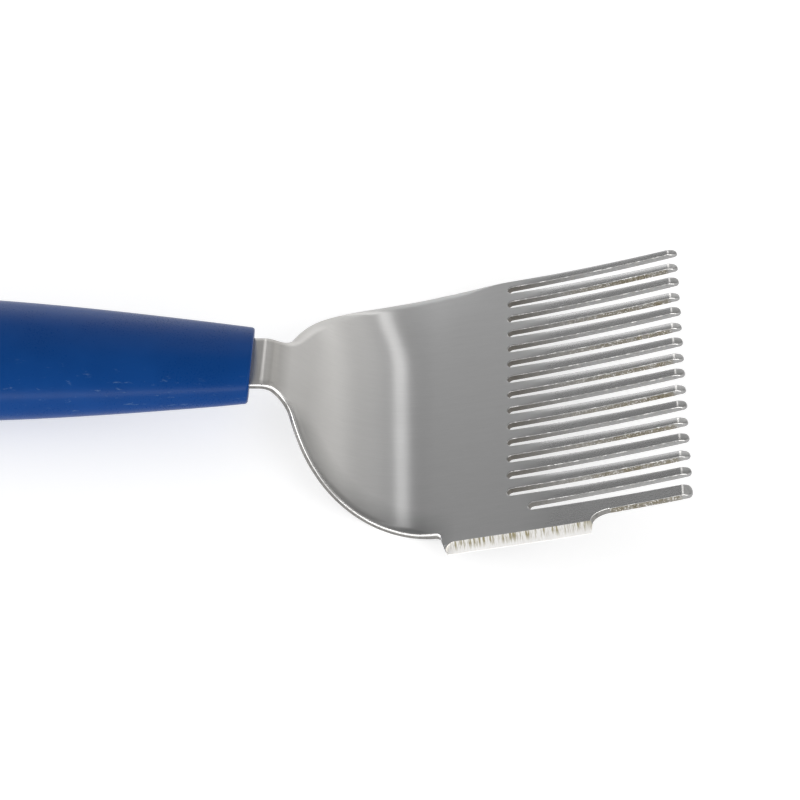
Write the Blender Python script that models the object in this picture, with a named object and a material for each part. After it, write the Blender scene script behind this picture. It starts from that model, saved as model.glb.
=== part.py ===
"""Uncapping fork (hive tool): a cranked stainless fork blade with a side scraper, in a moulded plastic handle.

The blade is drawn as a flat blank, cut and ground flat, and then bent. In the flat blank, s runs along the tool
from the start of the neck bend towards the tips, w runs across it, and the upper face is at height zero. The
finished tool lies on its spade and its handle, with the tips towards +X and the hollow side up.
"""

import math

import bmesh
import bpy
from mathutils import Matrix, Vector

MM = 0.001

# Steel sheet and its two bends
SHEET = 1.8 * MM
NECK_BEND_RADIUS = 6.5 * MM
NECK_BEND_ANGLE = math.radians(42.0)
SPADE_BEND_START = 14.5 * MM
SPADE_BEND_RADIUS = 32.0 * MM
SPADE_BEND_ANGLE = math.radians(57.5)
TINE_CURVE_RADIUS = 480.0 * MM
BEND_STEP = math.radians(5.0)

# Outline of the blank
NECK_HALF_WIDTH = 7.65 * MM
NECK_FILLET = 7.7 * MM
SHOULDER_RADIUS = 45.5 * MM
FAR_HALF_WIDTH = 38.1 * MM
FAR_SHOULDER_END = 50.35 * MM
NEAR_HALF_WIDTH = 39.5 * MM
NEAR_SHOULDER_END = 51.9 * MM

# Tines and slots
TINES = 16
PITCH = 5.0 * MM
SLOT_ROOT = 64.2 * MM
LAST_SLOT_ROOT = 69.2 * MM
TIP = 106.9 * MM
SLOT_ROOT_WIDTH = 2.05 * MM
SLOT_MOUTH_WIDTH = 2.9 * MM
TIP_NOSE = 1.0 * MM
TINE_SET = math.radians(0.5)
TIP_CHAMFER_LENGTH = 2.0 * MM
TIP_CHAMFER_DEPTH = 0.9 * MM

# Scraper tab on the near side
TAB_START = 49.8 * MM
TAB_END = 83.3 * MM
TAB_REACH = 4.9 * MM
TAB_FLANK_LEAN = 1.3 * MM
TAB_FILLET = 1.6 * MM
TAB_EXIT_LEAN = 0.3 * MM
TAB_EXIT_LENGTH = 4.4 * MM
BEVEL_WIDTH = 2.35 * MM
BEVEL_RUN_OUT = 1.1 * MM
EDGE_LAND = 0.1 * MM

# Tang inside the handle
TANG_LENGTH = 84.0 * MM
TANG_HALF_WIDTH = 5.5 * MM
TANG_SHOULDER = 9.0 * MM
TANG_HOLE_RADIUS = 3.2 * MM
TANG_HOLES = (-28.0 * MM, -68.0 * MM)

# Handle
HANDLE_FRONT = -1.66 * MM
HANDLE_AXIS = -1.95 * MM
HANDLE_LENGTH = 120.4 * MM
FRONT_HALF_WIDTH = 10.52 * MM
WIDEST_HALF_WIDTH = 17.74 * MM
WIDEST_AT = 95.0 * MM
FLATNESS = 0.655
SQUARENESS = 2.0
FRONT_ROUNDING = 0.7 * MM
FRONT_LEAN = math.radians(6.0)
LEAN_RUN = 8.0 * MM
BUTT_HALF_WIDTH = 9.6 * MM
BUTT_SQUARENESS = 2.3
HANG_HOLE_FROM_BUTT = 13.0 * MM
HANG_HOLE_RADIUS = 4.0 * MM
FIT_GAP = 0.3 * MM


def clear_scene():
    for obj in list(bpy.data.objects):
        bpy.data.objects.remove(obj, do_unlink=True)


def new_collection(name):
    collection = bpy.data.collections.new(name)
    bpy.context.scene.collection.children.link(collection)
    return collection


def arc(centre, radius, start, end, steps, stretch=1.0):
    """Points of an arc in the blank, from one angle in degrees to another. stretch scales it along s."""
    points = []
    for i in range(steps + 1):
        angle = math.radians(start + (end - start) * i / steps)
        points.append((centre[0] + stretch * radius * math.cos(angle), centre[1] + radius * math.sin(angle)))
    return points


def shoulder(half_width, end, side):
    """One edge from the neck, through its hollow fillet, round the shoulder to where the side runs straight."""
    drop = NECK_HALF_WIDTH + NECK_FILLET - half_width + SHOULDER_RADIUS
    reach = math.sqrt((SHOULDER_RADIUS + NECK_FILLET) ** 2 - drop**2)
    turn = math.degrees(math.atan2(drop, reach))
    fillet = arc((end - reach, NECK_HALF_WIDTH + NECK_FILLET), NECK_FILLET, -90.0, -turn, 6)
    round_part = arc((end, half_width - SHOULDER_RADIUS), SHOULDER_RADIUS, 180.0 - turn, 90.0, 18)
    return [(s, side * w) for s, w in fillet[:-1] + round_part]


def tang_edge(side):
    """The tang's edge, from its end to the neck."""
    corner = arc((-TANG_LENGTH + TANG_HALF_WIDTH, 0.0), TANG_HALF_WIDTH, 180.0, 90.0, 6)
    step = NECK_HALF_WIDTH - TANG_HALF_WIDTH
    foot = arc((-TANG_SHOULDER, NECK_HALF_WIDTH), step, -90.0, 0.0, 3)
    return [(s, side * w) for s, w in corner + foot]


def slot(index):
    """Slot between tine index and the next one: its near edge in, round the root, and its far edge out."""
    centre = (TINES / 2 - index) * PITCH
    root = LAST_SLOT_ROOT if index == TINES - 1 else SLOT_ROOT
    radius = SLOT_ROOT_WIDTH / 2
    return arc((root + radius, centre), radius, 270.0, 90.0, 8)


def tip(near_edge, far_edge):
    """The rounded nose between a tine's two edges at its tip."""
    half = (far_edge - near_edge) / 2
    return arc((TIP - TIP_NOSE, near_edge + half), half, -90.0, 90.0, 6, TIP_NOSE / half)


def tine_tips():
    """The fork's front, from the near side to the far side: noses and slots in turn."""
    points = []
    for index in range(TINES, 0, -1):
        slot_edge = PITCH / 2 - SLOT_MOUTH_WIDTH / 2
        centre = (TINES / 2 + 0.5 - index) * PITCH
        near_edge = -NEAR_HALF_WIDTH if index == TINES else centre - slot_edge
        far_edge = FAR_HALF_WIDTH if index == 1 else centre + slot_edge
        points += tip(near_edge, far_edge)
        if index > 1:
            points += slot(index - 1)
    return points


def tab_entry():
    """Where the near shoulder gives way to the fillet at the back of the scraper tab."""
    return TAB_START - TAB_FLANK_LEAN - TAB_FILLET


def scraper_tab():
    """The near edge from the shoulder, out round the scraper tab and back to the last tine."""
    out = -NEAR_HALF_WIDTH - TAB_REACH
    entry_at = tab_entry()
    short_of_end = math.sqrt(SHOULDER_RADIUS**2 - (NEAR_SHOULDER_END - entry_at) ** 2)
    edge = NEAR_HALF_WIDTH - SHOULDER_RADIUS + short_of_end
    entry = arc((entry_at, -edge - TAB_FILLET), TAB_FILLET, 90.0, 0.0, 5)
    width = TAB_REACH - BEVEL_WIDTH
    exit_centre = (TAB_END + TAB_EXIT_LEAN + TAB_EXIT_LENGTH, -NEAR_HALF_WIDTH - width)
    exit_arc = arc(exit_centre, width, 180.0, 90.0, 6, TAB_EXIT_LENGTH / width)
    return entry + [(TAB_START, out), (TAB_END, out)] + exit_arc


def blank_outline():
    """The whole blank, anticlockwise from the tang's end."""
    near = tang_edge(-1)[1:] + shoulder(NEAR_HALF_WIDTH, NEAR_SHOULDER_END, -1)
    before_tab = [point for point in near if point[0] < tab_entry()]
    far = tang_edge(1) + shoulder(FAR_HALF_WIDTH, FAR_SHOULDER_END, 1)
    return before_tab + scraper_tab() + tine_tips() + far[::-1]


def circle(centre, radius, steps=24):
    return arc(centre, radius, 0.0, 360.0, steps)[:-1]


def extruded(name, loops, low, high):
    """A closed mesh object of flat outlines, filled even-odd, between two heights."""
    curve = bpy.data.curves.new(name, "CURVE")
    curve.dimensions = "2D"
    curve.fill_mode = "BOTH"
    curve.extrude = (high - low) / 2
    for loop in loops:
        spline = curve.splines.new("POLY")
        spline.points.add(len(loop) - 1)
        for point, (s, w) in zip(spline.points, loop):
            point.co = (s, w, 0.0, 1.0)
        spline.use_cyclic_u = True
    outline = bpy.data.objects.new(name, curve)
    bpy.context.scene.collection.objects.link(outline)
    outline.location.z = (low + high) / 2
    return solid_from(outline, name)


def solid_from(source, name):
    """Turns a curve, or a mesh with modifiers, into a plain welded mesh object, and removes the source."""
    bpy.context.view_layer.update()
    evaluated = source.evaluated_get(bpy.context.evaluated_depsgraph_get())
    mesh = bpy.data.meshes.new_from_object(evaluated)
    mesh.transform(source.matrix_world)
    work = bmesh.new()
    work.from_mesh(mesh)
    bmesh.ops.remove_doubles(work, verts=work.verts, dist=1e-6)
    bmesh.ops.recalc_face_normals(work, faces=work.faces)
    work.to_mesh(mesh)
    work.free()
    bpy.data.objects.remove(source, do_unlink=True)
    solid = bpy.data.objects.new(name, mesh)
    bpy.context.scene.collection.objects.link(solid)
    return solid


def move_to(obj, collection):
    for old in list(obj.users_collection):
        old.objects.unlink(obj)
    collection.objects.link(obj)


def box(name, size, matrix):
    """A box whose matrix places the middle of its lower face."""
    mesh = bpy.data.meshes.new(name)
    work = bmesh.new()
    bmesh.ops.create_cube(work, size=1.0)
    bmesh.ops.translate(work, verts=work.verts, vec=(0.0, 0.0, 0.5))
    bmesh.ops.scale(work, verts=work.verts, vec=size)
    bmesh.ops.transform(work, verts=work.verts, matrix=matrix)
    work.to_mesh(mesh)
    work.free()
    obj = bpy.data.objects.new(name, mesh)
    bpy.context.scene.collection.objects.link(obj)
    return obj


def cut(target, cutter):
    modifier = target.modifiers.new("cut_" + cutter.name, "BOOLEAN")
    modifier.operation = "DIFFERENCE"
    modifier.solver = "EXACT"
    modifier.object = cutter


def tip_grinder():
    """Takes the chamfer off the upper face of all tips at once."""
    slope = math.atan2(TIP_CHAMFER_DEPTH, TIP_CHAMFER_LENGTH)
    place = Matrix.Translation((TIP - TIP_CHAMFER_LENGTH, 0.0, 0.0)) @ Matrix.Rotation(slope, 4, "Y")
    size = (4 * TIP_CHAMFER_LENGTH, 4 * NEAR_HALF_WIDTH, 4 * MM)
    return box("tip_grinder", size, place @ Matrix.Translation((2 * TIP_CHAMFER_LENGTH, 0.0, 0.0)))


def scraper_grinder():
    """Takes the single bevel off the upper face of the scraper tab, short of the tab's back corner."""
    slope = math.atan2(SHEET - EDGE_LAND, BEVEL_WIDTH)
    length = TAB_END - TAB_START + TAB_REACH
    edge = (TAB_START + BEVEL_RUN_OUT, -NEAR_HALF_WIDTH - TAB_REACH + BEVEL_WIDTH, 0.0)
    place = Matrix.Translation(edge) @ Matrix.Rotation(slope, 4, "X")
    size = (length, 4 * BEVEL_WIDTH, 4 * MM)
    return box("scraper_grinder", size, place @ Matrix.Translation((length / 2, -2 * BEVEL_WIDTH, 0.0)))


def slope_at(s):
    """The upper face's slope angle at a distance along it."""
    neck = min(max(s / NECK_BEND_RADIUS, 0.0), NECK_BEND_ANGLE)
    spade = min(max((s - SPADE_BEND_START) / SPADE_BEND_RADIUS, 0.0), SPADE_BEND_ANGLE)
    return spade - neck + max(s - SLOT_ROOT, 0.0) / TINE_CURVE_RADIUS


def bend_stations():
    """Where the blank is creased: the ends of each bend and even steps between them."""
    spans = (
        (0.0, NECK_BEND_RADIUS * NECK_BEND_ANGLE, NECK_BEND_ANGLE),
        (SPADE_BEND_START, SPADE_BEND_START + SPADE_BEND_RADIUS * SPADE_BEND_ANGLE, SPADE_BEND_ANGLE),
    )
    stations = []
    for start, end, angle in spans:
        steps = math.ceil(angle / BEND_STEP)
        stations += [start + (end - start) * i / steps for i in range(steps + 1)]
    tine_steps = 5
    stations += [SLOT_ROOT + (TIP - TIP_CHAMFER_LENGTH - SLOT_ROOT) * i / tine_steps for i in range(tine_steps)]
    return stations


def path_point(s, stations):
    """Where the upper face is at s, walking from crease to crease."""
    if s <= 0.0:
        return Vector((s, 0.0))
    place = Vector((0.0, 0.0))
    at = 0.0
    for station in stations[1:] + [s]:
        end = min(station, s)
        if end > at:
            slope = slope_at((at + end) / 2)
            place += (end - at) * Vector((math.cos(slope), math.sin(slope)))
            at = end
    return place


def tine_of(w):
    return min(max(round(TINES / 2 + 0.5 - w / PITCH), 1), TINES)


def bent(point, stations):
    """Takes a point of the flat blank to its place on the bent blade."""
    s, w, height = point
    x, z = path_point(s, stations)
    slope = slope_at(s)
    if tine_of(w) % 2 == 0:
        z -= math.tan(TINE_SET) * max(s - SLOT_ROOT, 0.0)
    return Vector((x - height * math.sin(slope), w, z + height * math.cos(slope)))


def make_blade():
    holes = [circle((s, 0.0), TANG_HOLE_RADIUS) for s in TANG_HOLES]
    flat = extruded("flat_blank", [blank_outline()] + holes, -SHEET, 0.0)
    grinders = [tip_grinder(), scraper_grinder()]
    for grinder in grinders:
        cut(flat, grinder)
    blade = solid_from(flat, "fork_blade")
    for grinder in grinders:
        bpy.data.objects.remove(grinder, do_unlink=True)
    stations = bend_stations()
    work = bmesh.new()
    work.from_mesh(blade.data)
    for station in stations:
        everything = work.verts[:] + work.edges[:] + work.faces[:]
        bmesh.ops.bisect_plane(work, geom=everything, dist=1e-6, plane_co=(station, 0, 0), plane_no=(1, 0, 0))
    bmesh.ops.triangulate(work, faces=work.faces)
    for vert in work.verts:
        vert.co = bent(vert.co, stations)
    work.to_mesh(blade.data)
    work.free()
    blade.data.set_sharp_from_angle(angle=math.radians(30.0))
    return blade


def handle_half_width(at):
    """The handle's half width at a distance from its front."""
    growth = math.sin(math.pi / 2 * min(at / WIDEST_AT, 1.0))
    width = FRONT_HALF_WIDTH + (WIDEST_HALF_WIDTH - FRONT_HALF_WIDTH) * growth
    if at < FRONT_ROUNDING:
        inset = 1.0 - at / FRONT_ROUNDING
        width -= FRONT_ROUNDING * (1.0 - math.sqrt(1.0 - inset**2))
    if at > WIDEST_AT:
        run = (at - WIDEST_AT) / (HANDLE_LENGTH - WIDEST_AT)
        fall = 1.0 - (1.0 - run**BUTT_SQUARENESS) ** (1.0 / BUTT_SQUARENESS)
        width -= (WIDEST_HALF_WIDTH - BUTT_HALF_WIDTH) * fall
    return width


def handle_stations():
    """Distances from the handle's front, closer together where its ends round over."""
    front = [FRONT_ROUNDING * (1.0 - math.cos(math.pi / 2 * i / 4)) for i in range(5)]
    middle = [FRONT_ROUNDING + (WIDEST_AT - FRONT_ROUNDING) * i / 14 for i in range(1, 15)]
    butt = [WIDEST_AT + (HANDLE_LENGTH - WIDEST_AT) * math.sin(math.pi / 2 * i / 10) for i in range(1, 11)]
    return front + middle + butt


def handle_section():
    """The handle's section, a rounded oblong of unit half width, as a closed curve."""
    curve = bpy.data.curves.new("handle_section", "CURVE")
    spline = curve.splines.new("POLY")
    steps = 48
    spline.points.add(steps - 1)
    for i, point in enumerate(spline.points):
        across = math.cos(2 * math.pi * i / steps)
        up = math.sin(2 * math.pi * i / steps)
        y = math.copysign(abs(across) ** (2 / SQUARENESS), across)
        z = math.copysign(abs(up) ** (2 / SQUARENESS), up)
        point.co = (y, FLATNESS * z, 0.0, 1.0)
    spline.use_cyclic_u = True
    section = bpy.data.objects.new("handle_section", curve)
    bpy.context.scene.collection.objects.link(section)
    return section


def handle_body():
    """The grip: its section swept along an axis just under the tang, its front end's foot set back."""
    section = handle_section()
    curve = bpy.data.curves.new("grip", "CURVE")
    curve.dimensions = "3D"
    curve.bevel_mode = "OBJECT"
    curve.bevel_object = section
    curve.use_fill_caps = True
    spline = curve.splines.new("POLY")
    stations = handle_stations()
    spline.points.add(len(stations) - 1)
    for point, at in zip(spline.points, stations):
        point.co = (HANDLE_FRONT - at, 0.0, HANDLE_AXIS, 1.0)
        point.radius = handle_half_width(at)
    grip = bpy.data.objects.new("grip", curve)
    bpy.context.scene.collection.objects.link(grip)
    body = solid_from(grip, "handle")
    bpy.data.objects.remove(section, do_unlink=True)
    top = FLATNESS * FRONT_HALF_WIDTH + HANDLE_AXIS
    for vert in body.data.vertices:
        at = HANDLE_FRONT - vert.co.x
        if at < LEAN_RUN:
            vert.co.x -= math.tan(FRONT_LEAN) * (top - vert.co.z) * (1.0 - at / LEAN_RUN)
    return body


def tang_socket():
    """Cuts the tang's room out of the grip, and leaves a peg of plastic through each tang hole."""
    half = TANG_HALF_WIDTH + FIT_GAP
    end = arc((-TANG_LENGTH + TANG_HALF_WIDTH, 0.0), half, 270.0, 90.0, 10)
    mouth = NECK_HALF_WIDTH + FIT_GAP
    deep = -TANG_SHOULDER - FIT_GAP
    outline = end + [(deep, half), (deep, mouth), (-HANDLE_FRONT, mouth), (-HANDLE_FRONT, -mouth)]
    outline += [(deep, -mouth), (deep, -half)]
    pegs = [circle((s, 0.0), TANG_HOLE_RADIUS - FIT_GAP) for s in TANG_HOLES]
    return extruded("tang_socket", [outline] + pegs, -SHEET - FIT_GAP, FIT_GAP)


def hang_hole():
    centre = (HANDLE_FRONT - HANDLE_LENGTH + HANG_HOLE_FROM_BUTT, 0.0)
    tall = WIDEST_HALF_WIDTH
    return extruded("hang_hole", [circle(centre, HANG_HOLE_RADIUS, 32)], -tall, tall)


def make_handle(cutters):
    handle = handle_body()
    for cutter in (tang_socket(), hang_hole()):
        cut(handle, cutter)
        cutter.hide_render = True
        cutter.display_type = "WIRE"
        move_to(cutter, cutters)
    return handle


def material(name, colour, metallic, roughness):
    made = bpy.data.materials.new(name)
    made.use_nodes = True
    shader = made.node_tree.nodes["Principled BSDF"]
    shader.inputs["Base Color"].default_value = (*colour, 1.0)
    shader.inputs["Metallic"].default_value = metallic
    shader.inputs["Roughness"].default_value = roughness
    return made


def lowest(obj, tilt):
    """How low an object's shape reaches when the tool is turned about its Y axis."""
    evaluated = obj.evaluated_get(bpy.context.evaluated_depsgraph_get())
    turn = Matrix.Rotation(tilt, 3, "Y")
    return min((turn @ vert.co).z for vert in evaluated.data.vertices)


def rest_tilt(blade, handle):
    """The turn at which the spade and the handle reach equally low, so that the tool lies on both."""
    low, high = math.radians(-8.0), math.radians(8.0)
    for _ in range(24):
        middle = (low + high) / 2
        if lowest(handle, middle) > lowest(blade, middle):
            high = middle
        else:
            low = middle
    return (low + high) / 2


def lay_down(blade, handle, parts, cutters):
    """Parents everything to an empty that lays the tool on the surface, centred over the origin."""
    bpy.context.view_layer.update()
    graph = bpy.context.evaluated_depsgraph_get()
    turn = Matrix.Rotation(rest_tilt(blade, handle), 3, "Y")
    corners = [turn @ vert.co for obj in (blade, handle) for vert in obj.evaluated_get(graph).data.vertices]
    low = [min(corner[axis] for corner in corners) for axis in range(3)]
    high = [max(corner[axis] for corner in corners) for axis in range(3)]
    rest = bpy.data.objects.new("rest_pose", None)
    parts.objects.link(rest)
    rest.rotation_euler = turn.to_euler()
    rest.location = (-(low[0] + high[0]) / 2, -(low[1] + high[1]) / 2, -low[2])
    for obj in (blade, handle, *cutters.objects):
        obj.parent = rest


def main():
    clear_scene()
    parts = new_collection("uncapping_fork")
    cutters = new_collection("cutters")
    blade = make_blade()
    blade.data.materials.append(material("stainless_steel", (0.56, 0.56, 0.55), 1.0, 0.32))
    handle = make_handle(cutters)
    handle.data.materials.append(material("blue_plastic", (0.008, 0.048, 0.190), 0.0, 0.38))
    handle.data.set_sharp_from_angle(angle=math.radians(30.0))
    for obj in (blade, handle):
        move_to(obj, parts)
    lay_down(blade, handle, parts, cutters)


main()
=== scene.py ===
"""Looks of the uncapping fork: a brushed stainless blade and a satin blue handle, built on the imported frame.

The blade is drawn as a flat sheet: s runs along the tool from the neck bend to the tips, w runs across it,
and the upper face is at height zero. Its edges are rounded, its tips and its scraper edge are ground, and it
is then bent. In the "tool frame" the handle lies along X, before it is laid down.
"""

import math

import bmesh
import bpy
import numpy as np
from mathutils import Matrix, Vector
from mathutils.geometry import delaunay_2d_cdt


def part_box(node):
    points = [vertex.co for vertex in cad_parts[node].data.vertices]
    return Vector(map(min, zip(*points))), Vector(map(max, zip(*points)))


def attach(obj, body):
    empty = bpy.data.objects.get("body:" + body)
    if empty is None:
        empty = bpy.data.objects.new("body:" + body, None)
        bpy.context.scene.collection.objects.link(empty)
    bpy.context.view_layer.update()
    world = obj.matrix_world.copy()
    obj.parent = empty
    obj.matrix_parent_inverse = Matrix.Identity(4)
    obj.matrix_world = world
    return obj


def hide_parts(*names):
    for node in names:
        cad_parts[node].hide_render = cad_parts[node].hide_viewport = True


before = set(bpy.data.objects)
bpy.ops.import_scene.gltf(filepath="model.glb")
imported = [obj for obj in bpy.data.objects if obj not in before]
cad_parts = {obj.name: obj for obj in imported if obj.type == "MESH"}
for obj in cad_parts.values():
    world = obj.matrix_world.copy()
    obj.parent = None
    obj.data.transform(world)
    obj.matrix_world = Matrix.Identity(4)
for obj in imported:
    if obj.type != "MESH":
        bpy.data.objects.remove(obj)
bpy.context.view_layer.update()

MM = 0.001

# Steel sheet and its bends, as in the CAD
SHEET = 1.8 * MM
NECK_BEND_RADIUS = 6.5 * MM
NECK_BEND_ANGLE = math.radians(42.0)
SPADE_BEND_START = 14.5 * MM
SPADE_BEND_RADIUS = 32.0 * MM
SPADE_BEND_ANGLE = math.radians(57.5)
TINE_CURVE_RADIUS = 480.0 * MM

# Outline of the sheet, as in the CAD
NECK_HALF_WIDTH = 7.65 * MM
NECK_FILLET = 7.7 * MM
SHOULDER_RADIUS = 45.5 * MM
FAR_HALF_WIDTH = 38.1 * MM
FAR_SHOULDER_END = 50.35 * MM
NEAR_HALF_WIDTH = 39.5 * MM
NEAR_SHOULDER_END = 51.9 * MM
TINES = 16
PITCH = 5.0 * MM
SLOT_ROOT = 64.2 * MM
LAST_SLOT_ROOT = 69.2 * MM
TIP = 106.9 * MM
SLOT_ROOT_WIDTH = 2.05 * MM
SLOT_MOUTH_WIDTH = 2.9 * MM
TIP_NOSE = 1.0 * MM
TINE_SET = math.radians(0.5)
TIP_CHAMFER_LENGTH = 2.0 * MM
TIP_CHAMFER_DEPTH = 0.9 * MM
TAB_START = 49.8 * MM
TAB_END = 83.3 * MM
TAB_REACH = 4.9 * MM
TAB_FLANK_LEAN = 1.3 * MM
TAB_FILLET = 1.6 * MM
TAB_EXIT_LEAN = 0.3 * MM
TAB_EXIT_LENGTH = 4.4 * MM
BEVEL_WIDTH = 2.35 * MM
EDGE_LAND = 0.1 * MM
TANG_LENGTH = 84.0 * MM
TANG_HALF_WIDTH = 5.5 * MM
TANG_SHOULDER = 9.0 * MM
TANG_HOLE_RADIUS = 3.2 * MM
TANG_HOLES = (-28.0 * MM, -68.0 * MM)

# Handle, as in the CAD
HANDLE_FRONT = -1.66 * MM
HANDLE_AXIS = -1.95 * MM
HANDLE_LENGTH = 120.4 * MM
FRONT_HALF_WIDTH = 10.52 * MM
WIDEST_HALF_WIDTH = 17.74 * MM
WIDEST_AT = 95.0 * MM
FLATNESS = 0.6543
SQUARENESS = 2.0
FRONT_ROUNDING = 0.7 * MM
FRONT_LEAN = math.radians(6.0)
LEAN_RUN = 8.0 * MM
BUTT_HALF_WIDTH = 9.6 * MM
BUTT_SQUARENESS = 2.3
HANG_HOLE_FROM_BUTT = 13.0 * MM
HANG_HOLE_RADIUS = 4.0 * MM

# Fine detail that only this model has
RIM_ROUNDING = 0.55 * MM
SLOT_ROUNDING = 0.25 * MM
TIP_ROUNDING = 0.22 * MM
FLANK_ROUNDING = 0.15 * MM
LOWER_ROUNDING = 0.15 * MM
CUTTING_EDGE_ROUNDING = 0.04 * MM
RIM_FALL_WIDTH = 1.4 * MM
FAR_FALL_WIDTH = 2.4 * MM
NEAR_FALL_SLOPE = math.tan(math.radians(23.0))
FAR_FALL_SLOPE = math.tan(math.radians(27.0))
CUT_FALL_WIDTH = 0.12 * MM
CUT_FALL_SLOPE = math.tan(math.radians(8.0))
SMALLEST_FALL_WIDTH = 0.05 * MM
NECK_SWELL = 0.1 * MM
NECK_SWELL_AT = 1.6 * MM
NECK_SWELL_LENGTH = 2.2 * MM
TWIST = math.radians(2.5)
FAR_TWIST = math.radians(5.5)
SHOULDER_SINK = 0.29 * MM
SHOULDER_SINK_WIDTH = 11.0 * MM
TINE_CROWN = math.radians(13.0)
TINE_ROLL = math.radians(6.0)
OUTWARD_ROLL = math.radians(7.5)
CROWN_RUN_IN = 14.0 * MM
RIDGE_ROUNDING = 0.25 * MM
BEVEL_RUN_OUT = 2.4 * MM
RUN_OUT_STEEPNESS = 9.0
SMALLEST_LAND = 0.45
EDGE_SPACING = 1.2 * MM
FACE_SPACING = 2.0 * MM
FALL_STEPS = 5
ROUNDING_STEPS = 4
TINE_LINES = (-0.4, 0.0, 0.4)
TIP_RIDGE_BAND = 0.4 * MM
HOLE_LIP = 1.2 * MM
FIT_GAP = 0.06 * MM

# Where the finish, the painted shade and the painted light tint change along the sheet, in millimetres
# Painted shade on the tine walls fades out over this range, away from the slot roots.
ROOT_SHADE = (66.0, 84.0)
STAIN_START = (74.0, 90.0)
STAIN_END = (103.9, 104.9)
# The next two ranges bound the painted shade over the neck bend.
BEND_SHADE_START = (0.9, 2.6)
BEND_SHADE_END = (3.5, 8.0)
# The painted warm light tint fades out over this range.
WARM_LIGHT_END = (20.0, 42.0)
# Where the painted shade inside the near rim ends.
RIM_SHADE_END = (44.0, 52.0)

# The way the tool lies, and the camera
REST_TILT = math.radians(-2.0038)
AIM = Vector((44.5, 4.2, 3.9)) * MM
CAMERA_AZIMUTH = math.radians(0.33)
CAMERA_ELEVATION = math.radians(48.36)
CAMERA_ROLL = math.radians(2.31)
CAMERA_DISTANCE = 530.0 * MM
LENS = 99.0
SENSOR_WIDTH = 36.0

# Studio light: name, direction, distance, size and radiance of each soft box
BACKGROUND = 0.34
FLOOR_GLOW = 0.52
SOFTBOXES = (
    ("front_box", (0.0, -0.95, 0.28), 1.2, (1.7, 0.30), 5.6),
    ("right_box", (0.66, -0.46, 0.60), 1.2, (0.9, 0.7), 1.4),
    ("left_box", (-0.80, -0.22, 0.42), 1.2, (0.9, 0.6), 1.9),
    ("back_box", (0.0, 0.95, 0.30), 1.2, (1.6, 0.55), 0.95),
    ("back_right_box", (0.74, 0.60, 0.30), 1.15, (1.1, 0.6), 0.68),
    ("upper_right_box", (0.27, 0.66, 0.70), 1.1, (0.5, 0.9), 0.45),
    ("left_low_box", (-0.95, 0.22, 0.22), 1.1, (1.0, 0.4), 3.0),
    ("strip_box", (-0.055, 0.70, 0.78), 1.1, (0.15, 0.9), 1.4),
    ("back_low_box", (0.0, 0.99, 0.10), 1.2, (1.2, 0.16), 1.3),
)

RIDGE = TIP - TIP_CHAMFER_LENGTH
RIDGE_LINES = (RIDGE - RIDGE_ROUNDING, RIDGE, RIDGE + RIDGE_ROUNDING)

FACE, RIM, SIDE, CUT, GROUND, NICKED = range(6)


# Outline of the sheet


def arc(centre, radius, start, end, steps, stretch=1.0):
    """Points of an arc, from one angle in degrees to another. stretch scales it along s."""
    points = []
    for i in range(steps + 1):
        angle = math.radians(start + (end - start) * i / steps)
        s = centre[0] + stretch * radius * math.cos(angle)
        points.append((s, centre[1] + radius * math.sin(angle)))
    return points


def shoulder(half_width, end, side):
    """One edge from the neck, through its hollow fillet and round the shoulder to the straight side."""
    drop = NECK_HALF_WIDTH + NECK_FILLET - half_width + SHOULDER_RADIUS
    reach = math.sqrt((SHOULDER_RADIUS + NECK_FILLET) ** 2 - drop**2)
    turn = math.degrees(math.atan2(drop, reach))
    fillet = arc((end - reach, NECK_HALF_WIDTH + NECK_FILLET), NECK_FILLET, -90.0, -turn, 12)
    round_part = arc((end, half_width - SHOULDER_RADIUS), SHOULDER_RADIUS, 180.0 - turn, 90.0, 60)
    return [(s, side * w) for s, w in fillet[:-1] + round_part]


def tang_edge(side):
    """The tang's edge, from its end to the neck."""
    corner = arc((-TANG_LENGTH + TANG_HALF_WIDTH, 0.0), TANG_HALF_WIDTH, 180.0, 90.0, 10)
    step = NECK_HALF_WIDTH - TANG_HALF_WIDTH
    foot = arc((-TANG_SHOULDER, NECK_HALF_WIDTH), step, -90.0, 0.0, 6)
    return [(s, side * w) for s, w in corner + foot]


def slot(index):
    """Root of the slot between tine index and the next one, from its near edge to its far edge."""
    centre = (TINES / 2 - index) * PITCH
    root = LAST_SLOT_ROOT if index == TINES - 1 else SLOT_ROOT
    radius = SLOT_ROOT_WIDTH / 2
    return arc((root + radius, centre), radius, 270.0, 90.0, 14)


def tip(near_edge, far_edge):
    """The rounded nose between a tine's two edges, with a point on each edge where the chamfer starts."""
    half = (far_edge - near_edge) / 2
    nose = arc((TIP - TIP_NOSE, near_edge + half), half, -90.0, 90.0, 14, TIP_NOSE / half)
    near_ridge = [(s, near_edge) for s in RIDGE_LINES]
    far_ridge = [(s, far_edge) for s in reversed(RIDGE_LINES)]
    return near_ridge + nose + far_ridge


def tine_edges(index):
    """A tine's near and far edge at its tip."""
    slot_edge = PITCH / 2 - SLOT_MOUTH_WIDTH / 2
    centre = (TINES / 2 + 0.5 - index) * PITCH
    near_edge = -NEAR_HALF_WIDTH if index == TINES else centre - slot_edge
    far_edge = FAR_HALF_WIDTH if index == 1 else centre + slot_edge
    return near_edge, far_edge


def tab_entry():
    """Where the near shoulder gives way to the fillet at the back of the scraper tab."""
    return TAB_START - TAB_FLANK_LEAN - TAB_FILLET


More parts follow.
